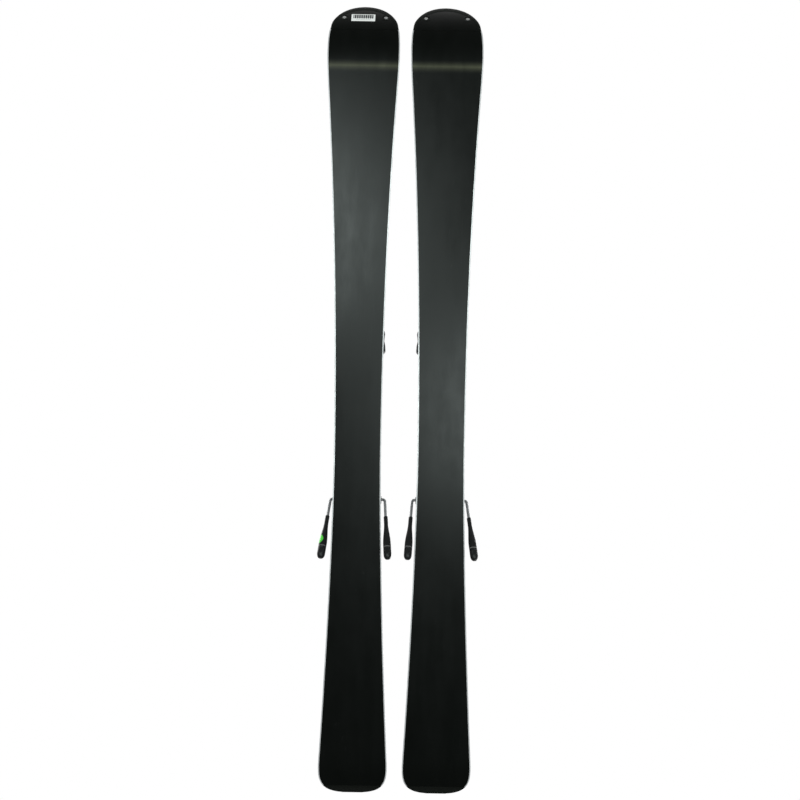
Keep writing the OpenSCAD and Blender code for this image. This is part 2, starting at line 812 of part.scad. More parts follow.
module brake_base() {
    color([0.12, 0.12, 0.13])
        difference() {
            union() {
                block(brake_w, heel_y, brake_front, foot_z, brake_top, 3);
                pair()
                    union() {
                        bar_x(boss_in, boss_out, pivot_y, pivot_z, pivot_boss_r);
                        box(boss_in, boss_out, pivot_y - pivot_boss_r, pivot_y + pivot_boss_r,
                            foot_z + 2, pivot_z);
                    }
            }
            channel(heel_y, brake_front);
            pair()
                bar_x(boss_in - over, boss_out + over, pivot_y, pivot_z, wire_r + run);
            for (i = [0:2])
                translate([0, brake_front - 14 + 4 * i, brake_top])
                    box(3 - brake_w / 2, brake_w / 2 - 3, 0, 2, -1, over);
        }
}
module brake_wires() {
    color([0.55, 0.56, 0.58])
        pair()
            union() {
                rod([pin_end, crank_y, crank_z], [crank_x, crank_y, crank_z], wire_r);
                translate([crank_x, crank_y, crank_z])
                    sphere(r = elbow_r);
                rod([crank_x, crank_y, crank_z], [crank_x, pivot_y, pivot_z], wire_r);
                translate([crank_x, pivot_y, pivot_z])
                    sphere(r = elbow_r);
                rod([crank_x, pivot_y, pivot_z], arm_root, wire_r);
                translate(arm_root)
                    sphere(r = elbow_r);
                rod(arm_root, along(wire_end), wire_r);
            }
}
module foot_swell() {
    translate(along(swell_at))
        scale(swell_scale)
            sphere(r = swell_r, $fn = 24);
}
module brake_feet() {
    color([0.06, 0.06, 0.065])
        pair()
            difference() {
                union() {
                    hull() {
                        rod(along(sheath), along(sheath + 1), neck_r, $fn = 24);
                        foot_swell();
                    }
                    hull() {
                        foot_swell();
                        translate(arm_tip)
                            sphere(r = foot_r, $fn = 28);
                    }
                }
                rod(along(sheath - over), along(wire_end), wire_r);
            }
}
module brake_pad() {
    color([0.10, 0.10, 0.11])
        translate([0, crank_y, crank_z])
            rotate([pad_tilt, 0, 0])
                difference() {
                    union() {
                        block(pad_w, pad_rear, pad_front, 1.5, pad_top, 6);
                        bar_x(-barrel_half, barrel_half, 0, 0, barrel_r);
                        box(-barrel_half, barrel_half, -barrel_r, barrel_r, 0, 3);
                    }
                    pair()
                        bar_x(pin_end - 0.1, pad_w / 2 + over, 0, 0, wire_r + run);
                    for (s = [-1, 1])
                        translate([s * crank_x, 0, 0])
                            box(-wire_r - 0.8, wire_r + 0.8, pad_rear - 4, 6, -6, wire_r + 0.8);
                    for (i = [0:5])
                        translate([0, pad_rear + 4 + 6.4 * i, pad_top])
                            box(5 - pad_w / 2, pad_w / 2 - 5, 0, 1.6, -0.8, over);
                }
}

parts = ["base_sheet", "steel_edges", "core", "sidewalls", "top_sheet", "tip_cap", "tip_rivets",
    "tail_cap", "binding_plate", "plate_screws", "toe_base", "toe_cover", "toe_wing_left",
    "toe_wing_right", "toe_wing_pins", "toe_piston", "toe_spring", "toe_din_screw", "afd_plate",
    "heel_carriage", "heel_housing", "heel_lever", "heel_axle", "heel_piston", "heel_spring",
    "heel_din_screw", "brake_base", "brake_wires", "brake_feet", "brake_pad"];

module ski_piece(p) {
    if (p == "base_sheet") base_sheet();
    if (p == "steel_edges") steel_edges();
    if (p == "core") core();
    if (p == "sidewalls") sidewalls();
    if (p == "top_sheet") top_sheet();
    if (p == "tip_cap") tip_cap();
    if (p == "tip_rivets") tip_rivets();
    if (p == "tail_cap") tail_cap();
    if (p == "binding_plate") binding_plate();
    if (p == "plate_screws") plate_screws();
    if (p == "toe_base") toe_base();
    if (p == "toe_cover") toe_cover();
    if (p == "toe_wing_left") toe_wing_left();
    if (p == "toe_wing_right") toe_wing_right();
    if (p == "toe_wing_pins") toe_wing_pins();
    if (p == "toe_piston") toe_piston();
    if (p == "toe_spring") toe_spring();
    if (p == "toe_din_screw") toe_din_screw();
    if (p == "afd_plate") afd_plate();
    if (p == "heel_carriage") heel_carriage();
    if (p == "heel_housing") heel_housing();
    if (p == "heel_lever") heel_lever();
    if (p == "heel_axle") heel_axle();
    if (p == "heel_piston") heel_piston();
    if (p == "heel_spring") heel_spring();
    if (p == "heel_din_screw") heel_din_screw();
    if (p == "brake_base") brake_base();
    if (p == "brake_wires") brake_wires();
    if (p == "brake_feet") brake_feet();
    if (p == "brake_pad") brake_pad();
}

for (side = [["left", -1], ["right", 1]], p = parts)
    translate([side[1] * side_x, 0, floor_h])
            ski_piece(p);
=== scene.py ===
"""Looks for a pair of alpine skis with bindings, their black bases seen from below.

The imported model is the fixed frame, in metres: X across the pair, Y towards the tips, Z up from the
floor that the brake feet stand on. Shapes here are worked out in millimetres.
The bases, edges, sides, top sheets, end caps, wires and brake feet are smooth rebuilt meshes;
the binding's plastic and metal pieces are the CAD nodes with softened edges and new materials.
"""
import json
import math

import bpy
from mathutils import Matrix, Vector

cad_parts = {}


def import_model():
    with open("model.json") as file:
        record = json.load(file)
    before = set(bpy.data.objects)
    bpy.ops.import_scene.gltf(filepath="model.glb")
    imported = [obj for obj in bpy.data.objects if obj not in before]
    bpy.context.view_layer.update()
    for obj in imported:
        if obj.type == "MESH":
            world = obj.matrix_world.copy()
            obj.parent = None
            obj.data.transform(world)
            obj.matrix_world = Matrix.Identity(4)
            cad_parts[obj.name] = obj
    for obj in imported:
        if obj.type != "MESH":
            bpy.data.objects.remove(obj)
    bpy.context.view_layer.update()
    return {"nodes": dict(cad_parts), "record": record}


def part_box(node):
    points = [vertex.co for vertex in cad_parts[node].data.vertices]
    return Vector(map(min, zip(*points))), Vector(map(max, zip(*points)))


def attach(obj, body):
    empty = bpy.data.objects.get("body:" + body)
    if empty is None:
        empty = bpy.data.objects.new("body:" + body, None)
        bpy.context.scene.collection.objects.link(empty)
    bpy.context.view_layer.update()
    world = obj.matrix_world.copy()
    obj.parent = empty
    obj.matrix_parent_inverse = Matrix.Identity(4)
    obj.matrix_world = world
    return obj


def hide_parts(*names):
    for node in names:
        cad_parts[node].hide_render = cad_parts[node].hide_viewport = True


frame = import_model()
MM = 0.001

# ---------------------------------------------------------------- ski shape, in millimetres
SIDES = {"left": -1, "right": 1}
CENTRE_X = {s: (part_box(f"{s}_base_sheet")[0].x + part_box(f"{s}_base_sheet")[1].x) / 2 / MM for s in SIDES}
TIP_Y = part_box("left_tip_cap")[1].y / MM
TAIL_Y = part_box("left_tail_cap")[0].y / MM
SNOW_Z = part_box("left_base_sheet")[0].z / MM
WAIST_W, SHOVEL_W, TAIL_W = 85.4, 134, 124
WAIST_T, TIP_T, TAIL_T = 13, 5, 6
TIP_LEN, TIP_RISE = 139, 55
TIP_BEND = TIP_Y - TIP_LEN + 1.2
KICK_LEN, TAIL_RISE = 60.5, 8
CAMBER = 4
WAIST_Y, THICK_Y = -122, -33.5
FRONT_Y, REAR_Y = TIP_Y - TIP_LEN, TAIL_Y + KICK_LEN
BOW_MID, BOW_HALF = (FRONT_Y + REAR_Y) / 2, (FRONT_Y - REAR_Y) / 2
PULL_Y, PULL_LEN, PULL_W = TIP_Y - 192, 124.7, 6.75
CAP_B = 79
CAP_Y, CAP_W = TIP_Y - CAP_B, SHOVEL_W / 2 - 1.2
NECK_Y, NECK_L, NECK_IN = TIP_Y - 57.5, 15, 1.2
FRONT_POW, REAR_POW, TAPER_POW = 2.18, 1.53, 1.7
TAIL_B, TAIL_N = 54, 3.25
TAIL_C = TAIL_Y + TAIL_B
K_FRONT = (SHOVEL_W - WAIST_W) / 2 / (TIP_Y - 115 - WAIST_Y) ** FRONT_POW
K_REAR = (TAIL_W - WAIST_W) / 2 / (WAIST_Y - TAIL_C) ** REAR_POW
RIM_W, RIM_SIDE = 12, 5
TIP_LINE = TIP_Y - 64.5
ARC_B, ARC_W = CAP_B - RIM_W, CAP_W - RIM_SIDE
TAIL_LINE = TAIL_Y + 14
BASE_T, TOP_T, EDGE_W = 1.8, 0.9, 2.0
SIDE_IN, SIDE_W, SHEET_IN = 0.5, 4.5, 1.2
RIVET_X, RIVET_Y, RIVET_R, LUG_R = 38.5, TIP_Y - 33.5, 3.5, 8


def low(y):
    """Height of the running surface above the snow plane."""
    if y > FRONT_Y:
        return TIP_RISE * ((y - FRONT_Y) / TIP_LEN) ** 2
    if y < REAR_Y:
        return TAIL_RISE * ((REAR_Y - y) / KICK_LEN) ** 2
    return CAMBER * (1 - ((y - BOW_MID) / BOW_HALF) ** 2) ** 2


def thick(y):
    reach = FRONT_Y - THICK_Y if y > THICK_Y else THICK_Y - REAR_Y
    u = min(1, abs(y - THICK_Y) / reach)
    return WAIST_T - (WAIST_T - (TIP_T if y > THICK_Y else TAIL_T)) * u ** TAPER_POW


def high(y):
    return low(y) + thick(y)


def slope(y, of=low):
    return (of(y + 0.5) - of(y - 0.5))


def arch(y, centre, b):
    return math.sqrt(max(0, 1 - ((y - centre) / b) ** 2))


def sidecut(y):
    d = y - WAIST_Y
    side = WAIST_W / 2 + (K_FRONT * d ** FRONT_POW if d > 0 else K_REAR * (-d) ** REAR_POW)
    return side - (PULL_W * ((y - PULL_Y) / PULL_LEN) ** 3 if y > PULL_Y else 0)


def neck(y):
    return NECK_IN * math.cos(math.pi / 2 * min(1, abs(y - NECK_Y) / NECK_L)) ** 2


def half_w(y):
    if y > CAP_Y:
        return max(0, min(sidecut(y), CAP_W * arch(y, CAP_Y, CAP_B)) - neck(y))
    if y < TAIL_C:
        return sidecut(TAIL_C) * max(0, 1 - ((TAIL_C - y) / TAIL_B) ** TAIL_N) ** (1 / TAIL_N)
    return sidecut(y)


def arc_half(y):
    return ARC_W * arch(y, CAP_Y, ARC_B)


def spread(a, b, step):
    n = max(1, round((b - a) / step))
    return [a + (b - a) * i / n for i in range(n + 1)]


def ease_out(a, b, n):
    """Stations that crowd towards b, for an end that closes to nothing."""
    return [a + (b - a) * math.sin(math.pi / 2 * i / n) for i in range(1, n + 1)]


# ---------------------------------------------------------------- mesh helpers
def add_mesh(name, points, faces, mat, sharp=32):
    """A smooth-shaded mesh object from points in millimetres, sharp where faces turn more than the angle."""
    mesh = bpy.data.meshes.new(name)
    mesh.from_pydata([Vector(p) * MM for p in points], [], faces)
    mesh.validate()
    mesh.update()
    mesh.polygons.foreach_set("use_smooth", [True] * len(mesh.polygons))
    mesh.set_sharp_from_angle(angle=math.radians(sharp))
    obj = bpy.data.objects.new(name, mesh)
    bpy.context.scene.collection.objects.link(obj)
    obj.data.materials.append(mat)
    return obj


def skin(rings, closed=False, caps=True):
    """Points and faces joining rings of equal length; each ring is a closed loop of points."""
    n = len(rings[0])
    points = [p for ring in rings for p in ring]
    faces = []
    count = len(rings)
    for i in range(count if closed else count - 1):
        j = (i + 1) % count
        for k in range(n):
            m = (k + 1) % n
            faces.append((i * n + k, i * n + m, j * n + m, j * n + k))
    if caps and not closed:
        faces.append(tuple(range(n))[::-1])
        faces.append(tuple((count - 1) * n + k for k in range(n)))
    return points, faces


def merge(parts):
    points, faces = [], []
    for p, f in parts:
        shift = len(points)
        points += p
        faces += [tuple(i + shift for i in face) for face in f]
    return points, faces


def placed(geometry, side, z=SNOW_Z):
    """Geometry of one ski moved from its own centre line to its place in the pair."""
    points, faces = geometry
    return [(p[0] + CENTRE_X[side], p[1], p[2] + z) for p in points], faces


def mirrored(geometry):
    points, faces = geometry
    return [(-p[0], p[1], p[2]) for p in points], [f[::-1] for f in faces]


def lathe(centre, axis, profile, n=40):
    """A turned shape: profile is a list of (radius, height along the axis)."""
    axis = Vector(axis).normalized()
    side = axis.orthogonal().normalized()
    other = axis.cross(side)
    rings = []
    for r, h in profile:
        mid = Vector(centre) + axis * h
        turn = [math.tau * k / n for k in range(n)]
        rings.append([tuple(mid + (side * math.cos(a) + other * math.sin(a)) * r) for a in turn])
    return skin(rings)


def sweep(path, radius, n=20):
    """A round tube along a path, its section carried without twist."""
    pts = [Vector(p) for p in path]
    across = (pts[1] - pts[0]).orthogonal().normalized()
    rings = []
    for i, p in enumerate(pts):
        ahead = (pts[min(i + 1, len(pts) - 1)] - pts[max(i - 1, 0)]).normalized()
        across = (across - ahead * across.dot(ahead)).normalized()
        other = ahead.cross(across)
        turn = [math.tau * k / n for k in range(n)]
        rings.append([tuple(p + (across * math.cos(a) + other * math.sin(a)) * radius) for a in turn])
    return skin(rings)


def rounded_path(corners, radius, steps=10):
    """A path through corners with each inner corner turned on an arc."""
    pts = [Vector(c) for c in corners]
    out = [pts[0]]
    for a, b, c in zip(pts, pts[1:], pts[2:]):
        u, v = (a - b).normalized(), (c - b).normalized()
        angle = u.angle(v)
        back = min(radius / math.tan(angle / 2), (a - b).length * 0.45, (c - b).length * 0.45)
        p, q = b + u * back, b + v * back
        for i in range(steps + 1):
            t = i / steps
            out.append(p * (1 - t) ** 2 + b * 2 * t * (1 - t) + q * t * t)
    out.append(pts[-1])
    return out


# ---------------------------------------------------------------- materials
class Nodes:
    """A short way to write a material's node tree."""

    def __init__(self, name, colour=(0.5, 0.5, 0.5)):
        self.mat = bpy.data.materials.new(name)
        self.mat.use_nodes = True
        self.mat.diffuse_color = (*colour, 1)
        self.tree = self.mat.node_tree
        self.bsdf = self.tree.nodes["Principled BSDF"]
        self.coords = self.add("ShaderNodeTexCoord").outputs["Object"]

    def add(self, kind, **values):
        node = self.tree.nodes.new(kind)
        for key, value in values.items():
            setattr(node, key, value)
        return node

    def put(self, socket, value):
        if isinstance(value, bpy.types.NodeSocket):
            self.tree.links.new(value, socket)
        elif hasattr(socket.default_value, "__len__") and not hasattr(value, "__len__"):
            socket.default_value = [value] * len(socket.default_value)
        elif hasattr(value, "__len__") and len(value) == 3 and len(socket.default_value) == 4:
            socket.default_value = (*value, 1)
        else:
            socket.default_value = value

    def surface(self, **values):
        names = {"colour": "Base Color", "metal": "Metallic", "rough": "Roughness", "bump": "Normal",
                 "coat": "Coat Weight", "coat_rough": "Coat Roughness", "ior": "IOR",
                 "specular": "Specular IOR Level", "aniso": "Anisotropic", "glow": "Emission Color",
                 "glow_power": "Emission Strength", "sheen": "Sheen Weight"}
        for key, value in values.items():
            self.put(self.bsdf.inputs[names[key]], value)

    def stretch(self, scale, rotation=(0, 0, 0)):
        node = self.add("ShaderNodeMapping")
        self.put(node.inputs["Vector"], self.coords)
        node.inputs["Scale"].default_value = scale
        node.inputs["Rotation"].default_value = rotation
        return node.outputs["Vector"]

    def noise(self, scale, detail=4, rough=0.5, at=None):
        node = self.add("ShaderNodeTexNoise")
        self.put(node.inputs["Vector"], at or self.coords)
        node.inputs["Scale"].default_value = scale
        node.inputs["Detail"].default_value = detail
        node.inputs["Roughness"].default_value = rough
        return node.outputs["Fac"]

    def cells(self, scale, at=None, feature="F1"):
        node = self.add("ShaderNodeTexVoronoi", feature=feature)
        self.put(node.inputs["Vector"], at or self.coords)
        node.inputs["Scale"].default_value = scale
        return node.outputs["Distance"]

    def ramp(self, value, low_value, high_value, start=0.0, end=1.0):
        node = self.add("ShaderNodeMapRange")
        self.put(node.inputs["Value"], value)
        for key, v in (("From Min", start), ("From Max", end), ("To Min", low_value), ("To Max", high_value)):
            self.put(node.inputs[key], v)
        return node.outputs["Result"]

    def mix(self, factor, a, b):
        node = self.add("ShaderNodeMix", data_type="RGBA")
        self.put(node.inputs["Factor"], factor)
        self.put(node.inputs[6], a)
        self.put(node.inputs[7], b)
        return node.outputs[2]

    def math(self, operation, a, b=0.0, c=0.0):
        node = self.add("ShaderNodeMath", operation=operation)
        for socket, value in zip(node.inputs, (a, b, c)):
            self.put(socket, value)
        return node.outputs[0]

    def axis(self, index, at=None):
        node = self.add("ShaderNodeSeparateXYZ")
        self.put(node.inputs[0], at or self.coords)
        return node.outputs[index]

    def bump(self, height, strength, depth, below=None):
        node = self.add("ShaderNodeBump")
        self.put(node.inputs["Height"], height)
        node.inputs["Strength"].default_value = strength
        node.inputs["Distance"].default_value = depth
        if below:
            self.put(node.inputs["Normal"], below)
        return node.outputs["Normal"]

    def wear(self, start=0.52, end=0.6):
        """0 on flats, 1 on outer edges that hands and boots rub."""
        point = self.add("ShaderNodeNewGeometry").outputs["Pointiness"]
        return self.ramp(point, 0, 1, start, end)


def base_material():
    """Black sintered base: long fine stone-ground structure, faint wax haze, hairline scratches, and a
    painted olive highlight band where the tip starts to bend up.
    """
    n = Nodes("sintered_base", (0.02, 0.02, 0.02))
    grind = n.noise(1.0, 6, 0.62, n.stretch((2600, 14, 2600)))
    haze = n.noise(1.0, 4, 0.55, n.stretch((46, 9, 46)))
    blotch = n.noise(24, 5, 0.6)
    scratch_lines = n.cells(1.0, n.stretch((420, 5, 420), (0, 0, 0.06)), "DISTANCE_TO_EDGE")
    scratch = n.ramp(scratch_lines, 1, 0, 0.0, 0.012)
    scratch = n.math("MULTIPLY", scratch, n.ramp(n.noise(9, 2), 0, 1, 0.5, 0.62))
    colour = n.mix(haze, (0.0020, 0.0030, 0.0022), (0.0036, 0.0048, 0.0038))
    colour = n.mix(n.math("MULTIPLY", scratch, 0.3), colour, (0.03, 0.032, 0.033))
    # Painted highlight: an olive band is put in the base colour where the tip starts to bend up, in place of
    # a lamp's reflection there.
    reach = n.math("ABSOLUTE", n.math("SUBTRACT", n.axis(1), TIP_BEND * MM))
    painted_bend_highlight = n.math("POWER", n.ramp(reach, 1, 0, 0, 0.013), 2.0)
    painted_bend_highlight = n.math("MULTIPLY", painted_bend_highlight, n.ramp(haze, 0.6, 1.0, 0.3, 0.7))
    colour = n.mix(painted_bend_highlight, colour, (0.070, 0.075, 0.044))
    rough = n.ramp(n.math("ADD", haze, n.math("MULTIPLY", blotch, 0.6)), 0.30, 0.39, 0.5, 1.1)
    bump = n.bump(grind, 0.10, 0.00006)
    n.surface(colour=colour, rough=rough, specular=0.42, bump=bump)
    return n.mat


def steel_material(name, colour, rough, stretch, metal=1.0, ground=0.12):
    """Ground or drawn steel with fine lines along the part and a little tarnish."""
    n = Nodes(name, colour)
    lines = n.noise(1.0, 5, 0.6, n.stretch(stretch))
    tarnish = n.noise(60, 4, 0.55)
    dark = tuple(c * 0.72 for c in colour)
    tint = n.mix(n.ramp(tarnish, 0, 1, 0.35, 0.75), colour, dark)
    shine = n.ramp(lines, rough - 0.08, rough + 0.14, 0.3, 0.7)
    n.surface(colour=tint, metal=metal, rough=shine, bump=n.bump(lines, ground, 0.00004))
    return n.mat


def moulded_material(name, colour, rough=0.5, grain=0.25, rubbed=None, coat=0.0, specular=0.5):
    """Moulded plastic: spark-eroded grain, slow colour drift, and paler rubbed edges."""
    n = Nodes(name, colour)
    fine = n.noise(2400, 3, 0.6)
    pits = n.cells(1300)
    drift = n.noise(18, 4, 0.55)
    dark = tuple(c * 0.82 for c in colour)
    pale = rubbed or tuple(min(1, c * 1.9 + 0.02) for c in colour)
    tint = n.mix(drift, dark, colour)
    edge = n.math("MULTIPLY", n.wear(), n.ramp(n.noise(260, 4), 0, 1, 0.42, 0.62))
    tint = n.mix(n.math("MULTIPLY", edge, 0.4), tint, pale)
    shine = n.ramp(n.math("ADD", fine, drift), rough - 0.07, rough + 0.08, 0.7, 1.3)
    surface = n.bump(n.math("ADD", fine, n.math("MULTIPLY", pits, 0.6)), grain, 0.00008)
    n.surface(colour=tint, rough=shine, specular=specular, coat=coat, coat_rough=0.12, bump=surface)
    return n.mat


def wood_material():
    """Laminated poplar: strips across, grain along."""
    n = Nodes("core_wood", (0.72, 0.55, 0.34))
    grain = n.noise(1.0, 6, 0.65, n.stretch((900, 10, 900)))
    strips = n.math("FRACT", n.math("MULTIPLY", n.axis(0), 83))
    joint = n.ramp(strips, 1, 0, 0.0, 0.06)
    colour = n.mix(grain, (0.55, 0.38, 0.2), (0.80, 0.63, 0.42))
    colour = n.mix(n.math("MULTIPLY", joint, 0.5), colour, (0.25, 0.15, 0.07))
    n.surface(colour=colour, rough=0.62, bump=n.bump(grain, 0.3, 0.0001))
    return n.mat


def sidewall_material():
    """Black ABS sidewall, sanded lengthwise."""
    n = Nodes("sidewall_abs", (0.03, 0.03, 0.032))
    sanded = n.noise(1.0, 5, 0.6, n.stretch((1500, 22, 1500)))
    colour = n.mix(sanded, (0.018, 0.018, 0.02), (0.032, 0.033, 0.035))
    n.surface(colour=colour, rough=n.ramp(sanded, 0.38, 0.56, 0.3, 0.7), bump=n.bump(sanded, 0.2, 0.00005))
    return n.mat


def top_material():
    """Charcoal top sheet with a lime sweep, pale pinstripes, fine twill and a clear lacquer."""
    n = Nodes("top_sheet_print", (0.06, 0.065, 0.07))
    x, y = n.axis(0), n.axis(1)
    across = n.math("SUBTRACT", n.math("ABSOLUTE", x), CENTRE_X["right"] * MM)
    twill_a = n.math("FRACT", n.math("MULTIPLY", n.math("ADD", x, y), 260))
    twill_b = n.math("FRACT", n.math("MULTIPLY", n.math("SUBTRACT", x, y), 260))
    twill = n.math("MULTIPLY", n.math("GREATER_THAN", twill_a, 0.5), n.math("GREATER_THAN", twill_b, 0.5))
    ground = n.mix(n.math("MULTIPLY", twill, 0.55), (0.030, 0.032, 0.036), (0.055, 0.058, 0.064))
    drift = n.noise(11, 4)
    ground = n.mix(n.ramp(drift, 0, 0.35, 0.3, 0.8), ground, (0.085, 0.09, 0.098))

    def band(value, centre, half, soft=0.0004):
        away = n.math("ABSOLUTE", n.math("SUBTRACT", value, centre))
        return n.ramp(away, 1, 0, half, half + soft)

    sweep_line = n.math("ADD", across, n.math("MULTIPLY", y, 0.085))
    fore = n.math("GREATER_THAN", y, 0.19)
    aft = n.math("LESS_THAN", y, -0.36)
    ends = n.math("ADD", fore, aft)
    lime = n.math("MULTIPLY", band(sweep_line, 0.036, 0.009), fore)
    lime_aft = n.math("MULTIPLY", band(sweep_line, -0.046, 0.009), aft)
    pale = n.math("MULTIPLY", band(sweep_line, 0.0205, 0.0016), fore)
    pale_aft = n.math("MULTIPLY", band(sweep_line, -0.0315, 0.0016), aft)
    repeat = n.math("FRACT", n.math("MULTIPLY", n.math("ADD", sweep_line, 1), 34))
    grey = n.math("MULTIPLY", band(repeat, 0.5, 0.1), ends)
    colour = n.mix(n.math("MULTIPLY", grey, 0.35), ground, (0.16, 0.165, 0.17))
    colour = n.mix(n.math("ADD", lime, lime_aft), colour, (0.30, 0.62, 0.035))
    colour = n.mix(n.math("ADD", pale, pale_aft), colour, (0.74, 0.75, 0.76))
    scuff_lines = n.cells(1.0, n.stretch((160, 30, 160), (0, 0, 0.5)), "DISTANCE_TO_EDGE")
    scuff = n.math("MULTIPLY", n.ramp(scuff_lines, 1, 0, 0, 0.01), n.ramp(n.noise(14, 3), 0, 1, 0.52, 0.66))
    colour = n.mix(n.math("MULTIPLY", scuff, 0.35), colour, (0.35, 0.35, 0.36))
    rough = n.ramp(n.noise(40, 5), 0.26, 0.42, 0.3, 0.7)
    n.surface(colour=colour, rough=rough, coat=0.55, coat_rough=0.09, bump=n.bump(twill, 0.05, 0.00005))
    return n.mat


def label_material(centre, size):
    """White paper label with a row of plain even bars and a row of short dashes."""
    n = Nodes("paper_label", (0.85, 0.86, 0.84))
    u = n.math("DIVIDE", n.math("SUBTRACT", n.axis(0), centre[0]), size[0])
    v = n.math("DIVIDE", n.math("SUBTRACT", n.axis(1), centre[1]), size[1])
    fibre = n.noise(900, 4, 0.6)
    paper = n.mix(fibre, (0.84, 0.86, 0.84), (0.95, 0.96, 0.95))

    def window(value, a, b):
        return n.math("MULTIPLY", n.math("GREATER_THAN", value, a), n.math("LESS_THAN", value, b))

    bars = n.math("GREATER_THAN", n.math("FRACT", n.math("MULTIPLY", n.math("ADD", u, 1), 11.0)), 0.24)
    block = n.math("MULTIPLY", window(u, -0.42, 0.42), window(v, -0.12, 0.40))
    ink = n.math("MULTIPLY", bars, block)
    dashes = n.math("GREATER_THAN", n.math("FRACT", n.math("MULTIPLY", n.math("ADD", u, 1), 31.0)), 0.55)
    row = n.math("MULTIPLY", window(u, -0.3, 0.3), window(v, -0.32, -0.22))
    ink = n.math("ADD", ink, n.math("MULTIPLY", n.math("MULTIPLY", dashes, row), 0.55))
    colour = n.mix(ink, paper, (0.025, 0.027, 0.03))
    n.surface(colour=colour, rough=0.45, specular=0.4, bump=n.bump(fibre, 0.1, 0.00004))
    return n.mat


def tag_material():
    """Fluorescent green sticker film with fine creases, and a faint painted glow from emission."""
    n = Nodes("green_film", (0.10, 0.62, 0.08))
    crease = n.noise(420, 4, 0.6)
    colour = n.mix(crease, (0.045, 0.50, 0.03), (0.12, 0.72, 0.07))
    # Painted glow: a faint green emission makes the film shine without any lamp.
    n.surface(colour=colour, rough=0.35, coat=0.3, coat_rough=0.2, glow=(0.03, 0.30, 0.02),
              glow_power=0.25, bump=n.bump(crease, 0.2, 0.00006))
    return n.mat


MAT = {
    "base": base_material(),
    "edge_steel": steel_material("edge_steel", (0.88, 0.89, 0.90), 0.36, (2200, 26, 2200), 0.4),
    "core_wood": wood_material(),
    "sidewall": sidewall_material(),
    "top_sheet": top_material(),
    "protector": moulded_material("end_protector", (0.007, 0.009, 0.007), 0.46, 0.22, (0.016, 0.017, 0.016),
                                  specular=0.22),
    "zinc": steel_material("zinc_plate", (0.70, 0.70, 0.70), 0.34, (500, 500, 500), 0.6),
    "spring_steel": steel_material("spring_steel", (0.32, 0.32, 0.34), 0.36, (700, 700, 700)),
    "wire_steel": steel_material("wire_steel", (0.52, 0.53, 0.54), 0.34, (1600, 60, 60), 0.6),
    "plate": moulded_material("plate_nylon", (0.028, 0.029, 0.031), 0.5, 0.3),
    "binding_body": moulded_material("body_nylon", (0.033, 0.034, 0.037), 0.48, 0.3),
    "housing": moulded_material("housing_nylon", (0.055, 0.057, 0.062), 0.42, 0.2, coat=0.15),
    "wing": moulded_material("wing_nylon", (0.045, 0.046, 0.05), 0.44, 0.25),
    "accent": moulded_material("lime_cover", (0.26, 0.56, 0.03), 0.32, 0.12, (0.55, 0.72, 0.32), 0.4),
    "glide_plate": moulded_material("glide_plate", (0.62, 0.63, 0.64), 0.35, 0.12, (0.8, 0.8, 0.8)),
    "foot_mark": moulded_material("foot_mark", (0.17, 0.17, 0.17), 0.5, 0.2, (0.3, 0.3, 0.3)),
    "pedal": moulded_material("pedal_nylon", (0.026, 0.027, 0.029), 0.55, 0.35),
    "brake_foot": moulded_material("foot_nylon", (0.013, 0.014, 0.014), 0.42, 0.28, (0.16, 0.16, 0.16)),
}


# ---------------------------------------------------------------- the skis themselves
def strip(ys, section):
    return skin([[(x, y, z) for x, z in section(y)] for y in ys])


def edge_stations():
    """Lengthwise stations, close together where the ski bends or narrows."""
    return spread(TAIL_LINE, REAR_Y, 5) + spread(REAR_Y, PULL_Y, 14)[1:] + spread(PULL_Y, TIP_LINE, 3)[1:]


def body_stations(end=True):
    """The same stations with a fine groove in front of the tip line, or open-ended without it."""
    ys = edge_stations()
    groove = [TIP_LINE - 0.5, TIP_LINE - 0.35]
    return [y for y in ys if y < TIP_LINE - 1] + groove + [TIP_LINE] if end else ys


def base_sheet():
    """The base: flat between the edges, with a hairline joint where the tip piece starts."""
    ys = body_stations() + [TIP_LINE + 0.35, TIP_LINE + 0.5] + [
        y for y in ease_out(TIP_LINE, TIP_Y - RIM_W, 40) if y > TIP_LINE + 1]

    def section(y):
        w = half_w(y) - EDGE_W if y <= TIP_LINE else max(0.15, arc_half(y))
        z = low(y) + (0.35 if abs(y - TIP_LINE) < 0.4 else 0)
        c = min(0.22, w / 3)
        top = low(y) + BASE_T
        return [(-w, z + c), (-w + c, z), (w - c, z), (w, z + c), (w, top), (-w, top)]

    return strip(ys, section)


def edge_strip():
    """One steel edge with a tiny bevel on each lower corner."""
    def section(y):
        w, z, c = half_w(y), low(y), 0.28
        a = w - EDGE_W + 0.05
        return [(a, z + 0.06), (a + 0.1, z + 0.02), (w - c, z), (w, z + c), (w, z + BASE_T), (a, z + BASE_T)]

    return strip(edge_stations(), section)


def side_strip():
    def section(y):
        w, a = half_w(y) - SIDE_IN, half_w(y) - SIDE_W
        z, t = low(y) + BASE_T, high(y) - TOP_T
        c = min(0.8, (t - z) / 3)
        return [(a, z), (w - 0.1, z), (w, z + 0.15), (w, t - c), (w - 0.5, t), (a, t)]

    return strip(edge_stations(), section)


def top_sheet():
    """Printed top sheet, its edges rolled over the sidewalls."""
    ys = body_stations(False) + [y for y in ease_out(TIP_LINE, TIP_Y - RIM_W, 40) if y > TIP_LINE + 0.5]

    def section(y):
        w = half_w(y) - SHEET_IN if y <= TIP_LINE else max(0.15, arc_half(y))
        t, b = high(y), high(y) - TOP_T
        c = min(0.7, w / 4)
        return [(-w, b), (w, b), (w, t - c), (w - c * 0.35, t - c * 0.35), (w - c, t),
                (-w + c, t), (-w + c * 0.35, t - c * 0.35), (-w, t - c)]

    return strip(ys, section)


